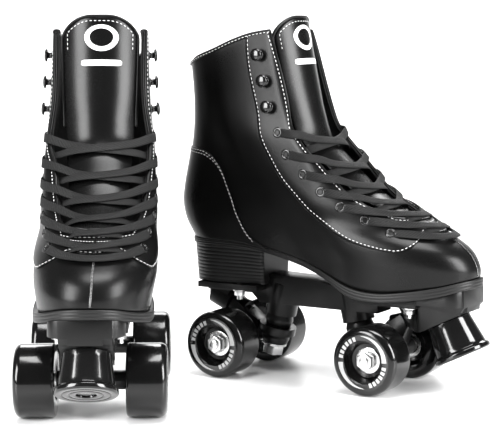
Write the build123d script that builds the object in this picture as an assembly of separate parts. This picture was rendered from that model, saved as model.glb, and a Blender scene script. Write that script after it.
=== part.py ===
from build123d import *
import os
from math import cos, pi, radians, sin, sqrt, tan

os.makedirs("parts", exist_ok=True)

# A pair of quad roller skates, in millimetres. Each skate is designed in its own frame: toe towards -Y,
# +Z up, +X towards the inner side of a right foot, origin on the floor midway between the axles. The left
# skate is its mirror image. The pair stands on z = 0 with the middle of its box at the origin.

# ---- the pair ----
LEFT_OFFSET = (189.8, 76.4)
LEFT_TURN = 56.9

# ---- wheels and axles ----
WHEEL_D = 58.0
WHEEL_W = 32.0
WHEELBASE = 146.0
TRACK = 87.0
WHEEL_OUTER_ROUND = 6.0
WHEEL_INNER_ROUND = 2.5
HUB_DEPTH = 10.0
HUB_CONE_R = 18.0
HUB_RING_R = 14.2
INNER_RECESS_DEPTH = 2.0
BEARING_OD = 22.0
BEARING_W = 7.0
BEARING_GAP = 6.0
BALL_D = 3.9
BALLS = 7
RACE_WALL = 1.5
SHIELD_T = 0.5
AXLE_D = 8.0
AXLE_NUT_AF = 13.0
AXLE_NUT_H = 6.3
AXLE_WASHER_T = 1.2
AXLE_WASHER_R = 6.5
AXLE_STICKOUT = 1.5

# ---- trucks ----
HOUSING_D = 15.0
HOUSING_END_GAP = 2.5
KINGPIN_D = 10.0
KINGPIN_TILT = 13.0
STEER_TILT = 24.0
RING_BEHIND_AXLE = 30.65
RING_Z = 38.0
RING_D = 33.0
RING_T = 7.0
RING_HOLE_PLAY = 2.5
CUSHION_D = 25.0
UPPER_CUSHION_H = 11.0
LOWER_CUSHION_H = 9.0
KINGPIN_WASHER_T = 2.0
KINGPIN_NUT_AF = 17.0
KINGPIN_NUT_H = 8.0
KINGPIN_GRIP = 22.0
PIVOT_PIN_D = 10.0
PIVOT_FROM_RING = 58.5
PIVOT_CUP_WALL = 3.0
PIVOT_MOUTH_FROM_RING = 50.0
PIVOT_BOSS_WALL = 3.0
HANGER_WEB_W = 18.0

# ---- base plate ----
SEAT_HALF_W = 30.0
SEAT_T = 5.0
HEEL_SEAT_Z = 79.0
FRONT_SEAT_BOTTOM_Z = 72.0
BEAM_HALF_W = 13.0
BEAM_BOTTOM_Z = 62.0
TRUCK_ROOF_Z = 70.0
KINGPIN_BOSS_D = 28.0
CARRIER_HALF_W = 20.0
CARRIER_TOP_HALF_W = 29.0
MOUNT_BOLT_X = 24.0
FRONT_BOLT_Y = -98.0
REAR_BOLT_Y = 67.0
MOUNT_BOLT_D = 5.0
MOUNT_NUT_AF = 8.0
MOUNT_NUT_H = 4.5
MOUNT_BOLT_TAIL = 9.0

# ---- toe stop ----
TOE_STOP_SEAT = (-123.3, 59.75)
TOE_STOP_TILT = 26.5
TOE_STOP_TOP_D = 37.5
TOE_STOP_FACE_D = 48.5
TOE_STOP_H = 32.0
TOE_STOP_LIP = 4.0
TOE_STOP_RECESS_D = 15.8
TOE_STOP_RECESS_DEPTH = 7.0
TOE_STOP_BOLT_D = 8.0
TOE_STOP_BOLT_AF = 13.0
TOE_STOP_BOLT_HEAD_H = 5.3
TOE_STOP_THREAD = 20.0

# ---- boot ----
LENGTH_GRADE = 1.0
WIDTH_GRADE = 1.0
UPPER_T = 2.0
LINING_T = 1.5
OVERLAY_T = 1.0
INSOLE_T = 4.0
SOLE_FORE_T = 7.5
SOLE_ARCH_T = 5.0
HEEL_BREAST_Y = 43.5
TONGUE_T = 4.5
EYELET_HOLE_D = 5.2
EYELET_WALL = 0.5
EYELET_FLANGE_D = 9.2
EYELET_FLANGE_T = 0.6
HOOK_BASE_D = 8.4
HOOK_HEAD_D = 11.0
HOOK_STEM_D = 4.0
HOOK_REACH = 7.0
LACE_D = 2.6
LACE_EDGE_SHARE = 0.8

# ---- clearances ----
RUNNING = 0.05
FIXED = 0.02
PLY_GAP = 0.1
LINING_GAP = 0.3
SOFT_GAP = 0.3

# Levels of the boot from the welt to above the collar. Each is a closed outline through a point at the
# back (y, z) and one at the front (y, z), with half-widths at the heel, middle and front, the share of the
# length where the front starts to round, and the outline's shift in X at the heel and at the front.
LEVELS = [
    ((117, 100), (-144.5, 72), (28, 31, 43), 0.66, (0, 3)),
    ((121, 118), (-150, 97), (31, 34, 47), 0.66, (0, 4)),
    ((130, 134), (-149.5, 108), (33, 36, 48.5), 0.66, (0, 5)),
    ((133.5, 150), (-142, 120), (34, 38, 48), 0.65, (0, 5.5)),
    ((131.5, 165), (-124.5, 132), (34.5, 39.5, 47), 0.52, (0.5, 6)),
    ((128, 180), (-98, 146), (35, 40.5, 46), 0.64, (1, 6)),
    ((124.5, 195), (-67.5, 163), (35, 41.5, 45), 0.74, (1.5, 5.5)),
    ((122, 209), (-42.5, 185), (35.5, 42, 44), 0.82, (2, 5)),
    ((120.5, 222), (-20, 207), (36, 42, 43), 0.85, (2.5, 4.5)),
    ((120, 236), (-8, 228), (36, 41, 41), 0.85, (3, 4)),
    ((121, 252), (1.5, 255), (35.5, 39.5, 39.5), 0.85, (3, 4)),
    ((123.5, 272), (12, 299), (35, 38, 38), 0.85, (3, 4)),
    ((126.5, 292), (18, 330), (35, 37, 37), 0.85, (3, 4)),
]
SOLE_LEVEL = ((123, 0), (-151.5, 0), (32, 33, 47), 0.66, (0, 2.5))
HEEL_LEVEL = ((122, 0), (26, 0), (31, 31, 29), 0.5, (0, 0))
HEEL_CAP_SHARE = 0.9
FRONT_ROUND_POWER = 2.2
OUTLINE_POINTS = 28

# Side outlines of the boot, as (y, z).
SOLE_TOP = [(-165, 100), (-147, 97), (-128, 92), (-99, 87), (-76, 85), (-53, 88), (-24, 99), (14, 110),
            (45, 116), (75, 118), (150, 118)]
SOLE_FORE_END_Y = -40.0
COLLAR = [(145, 268), (114, 273.5), (104, 278), (83, 285), (63, 293), (41, 299), (0, 304)]
QUARTER_FRONT = [(-12, 206), (1, 219), (9, 246), (19, 280), (33, 320)]
FACING_EDGE = [(51, 310), (48, 271), (38, 233), (26, 197), (6, 170), (-18, 148), (-50, 129),
               (-88, 119.5), (-116, 122), (-136, 134)]
COUNTER_EDGE = [(150, 199), (108, 199), (94, 197), (80, 186), (70, 165), (62, 143), (48, 122), (30, 112)]
BACK_STAY_W = 16.0
# Edges of the lacing gap in plan, as (y, outer-side x, inner-side x).
GAP = [(-88, -19, 32), (-60, -25, 40), (-30, -29, 44), (-12, -30, 45), (3, -31, 45)]
GAP_THROAT_Y = -97.0
EYELETS = [(15, 215), (6, 197), (-11, 181), (-28, 167), (-46, 155), (-67, 145), (-89, 135)]
HOOKS = [(36, 280), (30, 258), (25, 236)]
# Tongue at each level from the throat up: half-width, depth inside the boot's front, and hollow.
TONGUE = [(21, 8.5, 10), (23, 8.5, 11), (26, 8.5, 12), (28, 8, 14), (28, 4.5, 14), (28, 2, 13), (29, 1, 12),
          (29, 1, 12)]
TONGUE_TOP = 313.0

BIG = 400.0


# ---- shared helpers ----
def at(y, z, x=0.0):
    return Vector(x, y, z)


def rod(start, direction, diameter, length):
    """A cylinder from start, along direction."""
    return Solid.make_cylinder(diameter / 2, length, Plane(start, z_dir=direction))


def turned(corners, start, direction, rounds=None):
    """A turned piece: (radius, height) corners spun about direction, some of them rounded."""
    points = [(r, 0, h) for r, h in corners]
    radii = [(rounds or {}).get(i, 0) for i in range(len(corners))]
    line = FilletPolyline(*points, radius=radii, close=True) if rounds else Polyline(*points, close=True)
    return Plane(start, z_dir=direction).location * revolve(make_face(line), Axis.Z)


def hexagon(start, direction, across_flats, height, hole_diameter=0.0):
    """A nut, or a bolt's head when it has no hole."""
    sketch = RegularPolygon(across_flats / 2, 6, major_radius=False)
    if hole_diameter:
        sketch -= Circle(hole_diameter / 2)
    return Plane(start, z_dir=direction).location * extrude(sketch, height)


def slab(outline, half_width):
    """A plate whose side outline is a list of (y, z)."""
    face = make_face(Polyline(*[(y, z) for y, z in outline], close=True))
    return Plane.YZ.offset(-half_width).location * extrude(face, 2 * half_width)


def curved_slab(curve, corners, half_width=BIG / 2):
    """A plate whose side outline is a smooth curve closed by straight corners."""
    edges = Spline(*curve) + Polyline(curve[-1], *corners, curve[0])
    return Plane.YZ.offset(-half_width).location * extrude(make_face(edges), 2 * half_width)


def box(x, y, z):
    """A block from three (low, high) pairs."""
    size = [high - low for low, high in (x, y, z)]
    return Pos(x[0], y[0], z[0]) * Box(*size, align=(Align.MIN, Align.MIN, Align.MIN))


def ease(low, high, share):
    share = min(max(share, 0.0), 1.0)
    return low + (high - low) * share * share * (3 - 2 * share)


# ---- boot surfaces ----
def graded(level):
    """The level at the wanted boot length and width."""
    back, front, widths, cap, shifts = level
    return (
        (back[0] * LENGTH_GRADE, back[1]),
        (front[0] * LENGTH_GRADE, front[1]),
        [w * WIDTH_GRADE for w in widths],
        cap,
        [s * WIDTH_GRADE for s in shifts],
    )


def half_width(level, share, inset):
    """Half the outline's width at a share of its length, 0 at the heel and 1 at the front."""
    back, front, (heel, middle, fore), cap, _ = level
    width = ease(heel, middle, (share - 0.17) / 0.25)
    if share > 0.42:
        width = ease(middle, fore, (share - 0.42) / 0.24)
    length = back[0] - front[0]
    heel_cap = HEEL_CAP_SHARE * heel / length
    if share < heel_cap:
        width *= sqrt(max(0.0, 1 - ((heel_cap - share) / heel_cap) ** 2))
        inset *= sqrt(max(0.0, 1 - ((heel_cap - share) / heel_cap) ** 2))
    if share > cap:
        rounding = max(0.0, 1 - ((share - cap) / (1 - cap)) ** FRONT_ROUND_POWER) ** (1 / FRONT_ROUND_POWER)
        width *= rounding
        inset *= rounding
    return width - inset


def outline_point(level, share, offset, inset):
    """A point inside the outline by inset, at a share of the length and a sideways offset."""
    back, front, _, _, (heel_shift, fore_shift) = level
    back_y = back[0] - inset
    front_y = front[0] + inset
    y = back_y + (front_y - back_y) * share
    z = back[1] + (front[1] - back[1]) * share
    return at(y, z, heel_shift + (fore_shift - heel_shift) * share + offset)


def outline(level, inset=0.0):
    """The closed outline of a level, moved inwards by inset."""
    level = graded(level)
    points = []
    for i in range(OUTLINE_POINTS):
        turn = 2 * pi * i / OUTLINE_POINTS
        share = (1 + cos(turn)) / 2
        side = 1 if sin(turn) >= 0 else -1
        offset = side * half_width(level, share, inset)
        if i in (0, OUTLINE_POINTS // 2):
            offset = 0.0
        points.append(outline_point(level, share, offset, inset))
    turns = [i / OUTLINE_POINTS for i in range(OUTLINE_POINTS + 1)]
    return Wire([Edge.make_spline(points, periodic=True, parameters=turns)])


def boot_form(inset=0.0):
    """The solid form of the boot, inside its surface by inset."""
    return Solid.make_loft([outline(level, inset) for level in LEVELS])


def sole_prism(inset=0.0):
    return extrude(Face(outline(SOLE_LEVEL, inset)), BIG)


def sole_line(drop=0.0):
    """The top of the sole from the side, or its bottom when drop is 1."""
    line = []
    for y, z in SOLE_TOP:
        thickness = SOLE_FORE_T if y < SOLE_FORE_END_Y else SOLE_ARCH_T
        line.append((y * LENGTH_GRADE, z - drop * thickness))
    return line


def below(line):
    return curved_slab(line, [(line[-1][0], -BIG), (line[0][0], -BIG)])


def gap_cutter():
    """The lacing gap: what lies between the facings and in front of the quarters."""
    left = [(x * WIDTH_GRADE, y * LENGTH_GRADE) for y, x, _ in GAP]
    right = [(x * WIDTH_GRADE, y * LENGTH_GRADE) for y, _, x in reversed(GAP)]
    middle = (left[0][0] + right[-1][0]) / 2
    throat = ThreePointArc(right[-1], (middle, GAP_THROAT_Y * LENGTH_GRADE), left[0])
    plan = make_face(Polyline(*left, *right) + throat)
    front = [(y * LENGTH_GRADE, z) for y, z in QUARTER_FRONT]
    shaft = curved_slab(front, [(-60, 320), (-60, 206)])
    return Pos(0, 0, 120) * extrude(plan, BIG) + shaft


def collar_cutter():
    curve = [(y * LENGTH_GRADE, z) for y, z in COLLAR]
    return curved_slab(curve, [(-BIG / 2, 304), (-BIG / 2, BIG), (145 * LENGTH_GRADE, BIG)])


def surface_point(form, y, z, side):
    """The point on one side of the boot's surface at (y, z), and the outward normal there."""
    hits = form.find_intersection_points(Axis((side * BIG / 2, y * LENGTH_GRADE, z), (-side, 0, 0)))
    point, normal = max(hits, key=lambda hit: side * hit[0].X)
    return point, normal if normal.X * side > 0 else -normal


def surface_front(form, x, y, z):
    """Where a line through (x, y, z), falling back at 45 degrees, meets the front of the boot."""
    hits = form.find_intersection_points(Axis((x, y - BIG / 2, z + BIG / 2), (0, 1, -1)))
    point, normal = min(hits, key=lambda hit: hit[0].Y)
    return point, normal if normal.Y < 0 else -normal


# ---- boot pieces ----
def make_upper(form, cuts):
    return form - boot_form(UPPER_T) - cuts


def make_lining(cuts):
    outer = UPPER_T + LINING_GAP
    return boot_form(outer) - boot_form(outer + LINING_T) - cuts


def make_overlays(cuts):
    skin = boot_form(-PLY_GAP - OVERLAY_T) - boot_form(-PLY_GAP)
    facing = [(y * LENGTH_GRADE, z) for y, z in FACING_EDGE]
    front = curved_slab(facing, [(facing[-1][0], 340), (-20, 340)])
    counter = [(y * LENGTH_GRADE, z) for y, z in COUNTER_EDGE]
    heel = curved_slab(counter, [(30, 60), (160, 60)])
    stay = box((-BACK_STAY_W / 2, BACK_STAY_W / 2), (90, 160), (190, 320))
    return skin & (front + heel + stay) - cuts


def make_insole(form_inside):
    top = [(y, z + INSOLE_T) for y, z in sole_line()]
    return form_inside & below(top) - below(sole_line())


def make_outsole():
    return sole_prism() & below(sole_line()) - below(sole_line(1))


def make_heel_block():
    top_z = SOLE_TOP[-1][1] - SOLE_ARCH_T
    top = Pos(0, 0, HEEL_SEAT_Z + 45) * outline(HEEL_LEVEL)
    bottom = Pos(0, 0, HEEL_SEAT_Z) * outline(HEEL_LEVEL, 2.5)
    breast = HEEL_BREAST_Y * LENGTH_GRADE
    side = slab([(breast, top_z + 10), (150 * LENGTH_GRADE, top_z + 10), (150 * LENGTH_GRADE, HEEL_SEAT_Z),
                 (breast + 1.5, HEEL_SEAT_Z)], BIG / 4)
    block = Solid.make_loft([bottom, top]) & side
    return block & below(sole_line(1))


def tongue_section(level, shape):
    """A thick arc across the front of a level."""
    back, front, _, _, shifts = graded(level)
    half, depth, hollow = shape
    along = (at(*back) - at(*front)).normalized()
    outer = []
    for i in range(-4, 5):
        share = i / 4
        middle = at(*front, shifts[1] + share * half * WIDTH_GRADE)
        outer.append(middle + along * (depth + hollow * share * share))
    inner = [point + along * TONGUE_T for point in reversed(outer)]
    edges = [Edge.make_spline(outer), Edge.make_line(outer[-1], inner[0])]
    edges += [Edge.make_spline(inner), Edge.make_line(inner[-1], outer[0])]
    return Wire(edges)


def make_tongue():
    sections = [tongue_section(*row) for row in zip(LEVELS[-len(TONGUE):], TONGUE)]
    width = TONGUE[-1][0] * WIDTH_GRADE
    middle = LEVELS[-1][4][1] * WIDTH_GRADE
    outline_face = Pos(middle, TONGUE_TOP - BIG / 2) * RectangleRounded(2 * width + 6, BIG, width * 0.9)
    top = Plane.XZ.offset(-BIG / 4).location * extrude(outline_face, BIG / 2)
    return Solid.make_loft(sections) & top


def eyelet_seats(form):
    return [[surface_point(form, y, z, side) for y, z in EYELETS] for side in (-1, 1)]


def hook_seats(form):
    return [surface_point(form, y, z, side) for side in (-1, 1) for y, z in HOOKS]


def leather_depth():
    return PLY_GAP + UPPER_T + LINING_GAP + LINING_T


def make_eyelets(seats):
    outer = EYELET_HOLE_D / 2 - RUNNING
    inner = outer - EYELET_WALL
    base = PLY_GAP + OVERLAY_T
    corners = [(inner, -leather_depth() - 0.1), (outer, -leather_depth() - 0.1), (outer, base),
               (EYELET_FLANGE_D / 2, base), (EYELET_FLANGE_D / 2 - 0.4, base + EYELET_FLANGE_T),
               (inner, base + EYELET_FLANGE_T)]
    return [turned(corners, point, normal) for side in seats for point, normal in side]


def make_hooks(seats):
    base = PLY_GAP + OVERLAY_T
    stem = HOOK_STEM_D / 2
    head = HOOK_HEAD_D / 2
    corners = [(0, -leather_depth()), (stem - RUNNING, -leather_depth()), (stem - RUNNING, base),
               (HOOK_BASE_D / 2, base), (HOOK_BASE_D / 2, base + 0.8), (stem, base + 1.2),
               (stem, HOOK_REACH - 2.4), (head, HOOK_REACH - 1.8), (head - 0.5, HOOK_REACH - 0.4),
               (head / 2, HOOK_REACH + 0.6), (0, HOOK_REACH + 0.9)]
    return [turned(corners, point, normal) for point, normal in seats]


def lace_holes(eyelets, hooks):
    """Rods that punch every eyelet and hook hole."""
    holes = []
    for point, normal in eyelets[0] + eyelets[1]:
        holes.append(rod(point - normal * 9, normal, EYELET_HOLE_D, 14))
    for point, normal in hooks:
        holes.append(rod(point - normal * 9, normal, HOOK_STEM_D, 14))
    return holes


def lace_route(form, seats):
    """The middle line of the lace: up one strand, across the bottom row and back up the other."""
    over = PLY_GAP + OVERLAY_T + EYELET_FLANGE_T + LACE_D / 2 + SOFT_GAP
    under = leather_depth() + LACE_D / 2 + 3 * RUNNING
    level_over, level_under = 2.6, -0.6
    gap_middle = 6.0 * WIDTH_GRADE

    def edge(point, height):
        """A point beside the gap's edge, above or below the leather."""
        x = gap_middle + (point.X - gap_middle) * LACE_EDGE_SHARE
        place, normal = surface_front(form, x, point.Y, point.Z)
        return place + normal * height

    def strand(first, height):
        side = first
        points = [seats[side][0][0] - seats[side][0][1] * under + Vector(0, 8, -3)]
        for row in range(len(EYELETS)):
            place, normal = seats[side][row]
            points += [place - normal * under, place + normal * over]
            if row + 1 == len(EYELETS):
                break
            points.append(edge(place, over))
            side = 1 - side
            following = seats[side][row + 1][0]
            between = (place + following) * 0.5
            middle, up = surface_front(form, gap_middle, between.Y, between.Z)
            points.append(middle + up * height)
            points.append(edge(following, -under))
        return points, side

    down, last = strand(1, level_over)
    back, _ = strand(0, level_under)
    ends = [seats[side][-1][0] for side in (last, 1 - last)]
    middle, up = surface_front(form, gap_middle, ends[0].Y, ends[0].Z)
    return down + [edge(ends[0], over), middle + up * level_over, edge(ends[1], over)] + back[::-1]


def make_lace(form, seats):
    points = lace_route(form, seats)
    radii = []
    for i in range(1, len(points) - 1):
        before = (points[i] - points[i - 1]).length
        after = (points[i + 1] - points[i]).length
        turn = (points[i] - points[i - 1]).get_angle(points[i + 1] - points[i])
        radii.append(min(0.45 * min(before, after) / max(0.05, tan(radians(turn / 2))), 30.0))
    path = FilletPolyline(*points, radius=radii)
    print("lace length", round(path.length), "smallest radius", round(min(radii), 2))
    start = Plane(path @ 0, z_dir=path % 0)
    return sweep(start * Circle(LACE_D / 2), path=path)


# ---- chassis pieces ----
def truck_frame(end):
    """Named points and directions of one truck: end is -1 at the front and +1 at the rear."""
    axle = at(end * WHEELBASE / 2, WHEEL_D / 2)
    ring = at(end * (WHEELBASE / 2 - RING_BEHIND_AXLE), RING_Z)
    kingpin = Vector(0, -end * sin(radians(KINGPIN_TILT)), cos(radians(KINGPIN_TILT)))
    steer = Vector(0, end * cos(radians(STEER_TILT)), sin(radians(STEER_TILT)))
    return axle, ring, kingpin, steer


def lower_washer_start():
    return -RING_T / 2 - PLY_GAP - LOWER_CUSHION_H - PLY_GAP


def kingpin_end():
    return lower_washer_start() - KINGPIN_WASHER_T - KINGPIN_NUT_H - AXLE_STICKOUT


def boss_start():
    return RING_T / 2 + PLY_GAP + UPPER_CUSHION_H + PLY_GAP


def make_hanger(end):
    axle, ring, kingpin, steer = truck_frame(end)
    reach = TRACK / 2 - WHEEL_W / 2 - HOUSING_END_GAP + INNER_RECESS_DEPTH
    housing = rod(axle - Vector(reach, 0, 0), (1, 0, 0), HOUSING_D, 2 * reach)
    collar = rod(ring - kingpin * RING_T / 2, kingpin, RING_D, RING_T)
    out = Vector(0, end, 0)
    up = Vector(0, 0, 1)
    arm_end = PIVOT_MOUTH_FROM_RING - 1.5
    normal = Vector(0, -steer.Y * steer.Z, steer.Y * steer.Y).normalized()
    corners = [
        ring + out * (RING_D / 2 - 1.2) + up * RING_T,
        ring + steer * (arm_end - 2) + normal * 6,
        ring + steer * arm_end,
        ring + steer * (arm_end - 1) - normal * 6,
        axle + out * (HOUSING_D / 2 - 1) - up * 2.5,
        axle - out * (HOUSING_D / 2 - 1) - up * 2.5,
        ring + out * (RING_D / 2 - 1.0),
    ]
    web = slab([(c.Y, c.Z) for c in corners], HANGER_WEB_W / 2)
    pin = rod(ring + steer * 30, steer, PIVOT_PIN_D, PIVOT_FROM_RING - 30)
    tip = Pos(*(ring + steer * PIVOT_FROM_RING)) * Sphere(PIVOT_PIN_D / 2)
    shoulder = turned([(0, 34), (9, 34), (7, arm_end), (0, arm_end)], ring, steer)
    hanger = housing + collar + web + pin + tip + shoulder
    hanger -= rod(ring - kingpin * RING_T, kingpin, KINGPIN_D + 2 * RING_HOLE_PLAY, 2 * RING_T)
    return hanger - rod(axle - Vector(BIG / 4, 0, 0), (1, 0, 0), AXLE_D + 2 * FIXED, BIG / 2)


def make_axle(end):
    axle = truck_frame(end)[0]
    reach = TRACK / 2 + bearing_outer_face() + AXLE_WASHER_T + AXLE_NUT_H + AXLE_STICKOUT
    return rod(axle - Vector(reach, 0, 0), (1, 0, 0), AXLE_D, 2 * reach)


def bearing_outer_face():
    """How far the outer bearing's face lies outside the wheel's middle."""
    return WHEEL_W / 2 - HUB_DEPTH


def bearing_starts():
    """Where the outer and inner bearing end, outwards from the wheel's middle."""
    outer = bearing_outer_face() - BEARING_W
    return outer, outer - BEARING_GAP - BEARING_W


def sleeve(start, direction, outer_d, inner_d, length):
    return turned([(inner_d / 2, 0), (outer_d / 2, 0), (outer_d / 2, length), (inner_d / 2, length)],
                  start, direction)


def make_axle_hardware(end):
    """Nuts, washers, spacers and the bearings' inner races, which stay still with the axle."""
    axle = truck_frame(end)[0]
    pieces = []
    hole = AXLE_D + 2 * FIXED
    race_d = AXLE_D + 2 * RACE_WALL
    for side in (-1, 1):
        out = Vector(side, 0, 0)
        middle = axle + out * TRACK / 2
        outer, inner = bearing_starts()
        stop = WHEEL_W / 2 + HOUSING_END_GAP - INNER_RECESS_DEPTH
        pieces.append(sleeve(middle - out * stop, out, race_d, hole, stop + inner))
        pieces.append(sleeve(middle + out * inner, out, race_d, hole, BEARING_W))
        pieces.append(sleeve(middle + out * (inner + BEARING_W), out, race_d - 1, hole, BEARING_GAP))
        pieces.append(sleeve(middle + out * outer, out, race_d, hole, BEARING_W))
        face = bearing_outer_face()
        pieces.append(sleeve(middle + out * face, out, 2 * AXLE_WASHER_R, hole, AXLE_WASHER_T))
        pieces.append(hexagon(middle + out * (face + AXLE_WASHER_T), out, AXLE_NUT_AF, AXLE_NUT_H, hole))
    return pieces


def wheel_place(end, side):
    axle = truck_frame(end)[0]
    out = Vector(side, 0, 0)
    return axle + out * TRACK / 2, out


def make_wheel(end, side):
    middle, out = wheel_place(end, side)
    seat = BEARING_OD / 2
    core = seat - 1.5
    radius = WHEEL_D / 2
    half = WHEEL_W / 2
    outer, inner = bearing_starts()
    corners = [
        (seat, inner),
        (seat + 3, inner),
        (seat + 7, -half),
        (radius, -half),
        (radius, half),
        (HUB_CONE_R, half),
        (HUB_RING_R, half - HUB_DEPTH + 0.4),
        (seat, half - HUB_DEPTH + 0.4),
        (seat, outer),
        (core, outer),
        (core, inner + BEARING_W),
        (seat, inner + BEARING_W),
    ]
    rounds = {3: WHEEL_INNER_ROUND, 4: WHEEL_OUTER_ROUND, 5: 1.0}
    return turned(corners, middle, out, rounds)


def make_bearings(end, side):
    """Both bearings of one wheel: outer ring with its two shields, and the balls."""
    middle, out = wheel_place(end, side)
    ring = BEARING_OD / 2
    race = AXLE_D / 2 + RACE_WALL
    groove = race + BALL_D + 2 * RUNNING
    lip = race + 0.7
    pieces = []
    for start in bearing_starts():
        corners = [(lip, 0), (ring - FIXED, 0), (ring - FIXED, BEARING_W), (lip, BEARING_W),
                   (lip, BEARING_W - SHIELD_T), (groove, BEARING_W - SHIELD_T), (groove, SHIELD_T),
                   (lip, SHIELD_T)]
        place = middle + out * start
        pieces.append(turned(corners, place, out))
        for i in range(BALLS):
            turn = 2 * pi * i / BALLS
            pitch = race + RUNNING + BALL_D / 2
            ball = place + out * (BEARING_W / 2) + Vector(0, pitch * cos(turn), pitch * sin(turn))
            pieces.append(Pos(*ball) * Sphere(BALL_D / 2))
    return pieces


def make_kingpins():
    pieces = []
    for end in (-1, 1):
        _, ring, kingpin, _ = truck_frame(end)
        length = boss_start() + KINGPIN_GRIP - kingpin_end()
        pieces.append(rod(ring + kingpin * kingpin_end(), kingpin, KINGPIN_D, length))
        washer = ring + kingpin * lower_washer_start()
        hole = KINGPIN_D + 2 * FIXED
        pieces.append(sleeve(washer, -kingpin, CUSHION_D - 3, hole, KINGPIN_WASHER_T))
        nut = washer - kingpin * KINGPIN_WASHER_T
        pieces.append(hexagon(nut, -kingpin, KINGPIN_NUT_AF, KINGPIN_NUT_H, hole))
    return pieces


def make_cushions(end):
    _, ring, kingpin, _ = truck_frame(end)
    hole = KINGPIN_D / 2 + RUNNING
    radius = CUSHION_D / 2
    pieces = []
    for way, height in ((kingpin, UPPER_CUSHION_H), (-kingpin, LOWER_CUSHION_H)):
        corners = [(hole, 0), (radius - 1.5, 0), (radius, height / 2), (radius - 1.5, height), (hole, height)]
        pieces.append(turned(corners, ring + way * (RING_T / 2 + PLY_GAP), way, {2: 4}))
    return pieces


def pivot_socket_end():
    return PIVOT_FROM_RING + PIVOT_PIN_D / 2 + PIVOT_CUP_WALL


def make_pivot_cups():
    pieces = []
    for end in (-1, 1):
        _, ring, _, steer = truck_frame(end)
        outer = PIVOT_PIN_D / 2 + RUNNING + PIVOT_CUP_WALL
        cup = rod(ring + steer * PIVOT_MOUTH_FROM_RING, steer, 2 * outer,
                  pivot_socket_end() - PIVOT_MOUTH_FROM_RING)
        bore = rod(ring + steer * 30, steer, PIVOT_PIN_D + 2 * RUNNING, PIVOT_FROM_RING - 30)
        seat = Pos(*(ring + steer * PIVOT_FROM_RING)) * Sphere(PIVOT_PIN_D / 2 + RUNNING)
        pieces.append(cup - bore - seat)
    return pieces


def toe_stop_frame():
    tilt = radians(TOE_STOP_TILT)
    return at(*TOE_STOP_SEAT), Vector(0, -sin(tilt), -cos(tilt))


def mount_bolt_places():
    return [(side * MOUNT_BOLT_X, y) for y in (FRONT_BOLT_Y, REAR_BOLT_Y) for side in (-1, 1)]


def nut_seat_z(y):
    """Height of the plate's underside at a mounting bolt."""
    return FRONT_SEAT_BOTTOM_Z if y < 0 else HEEL_SEAT_Z - SEAT_T


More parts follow.
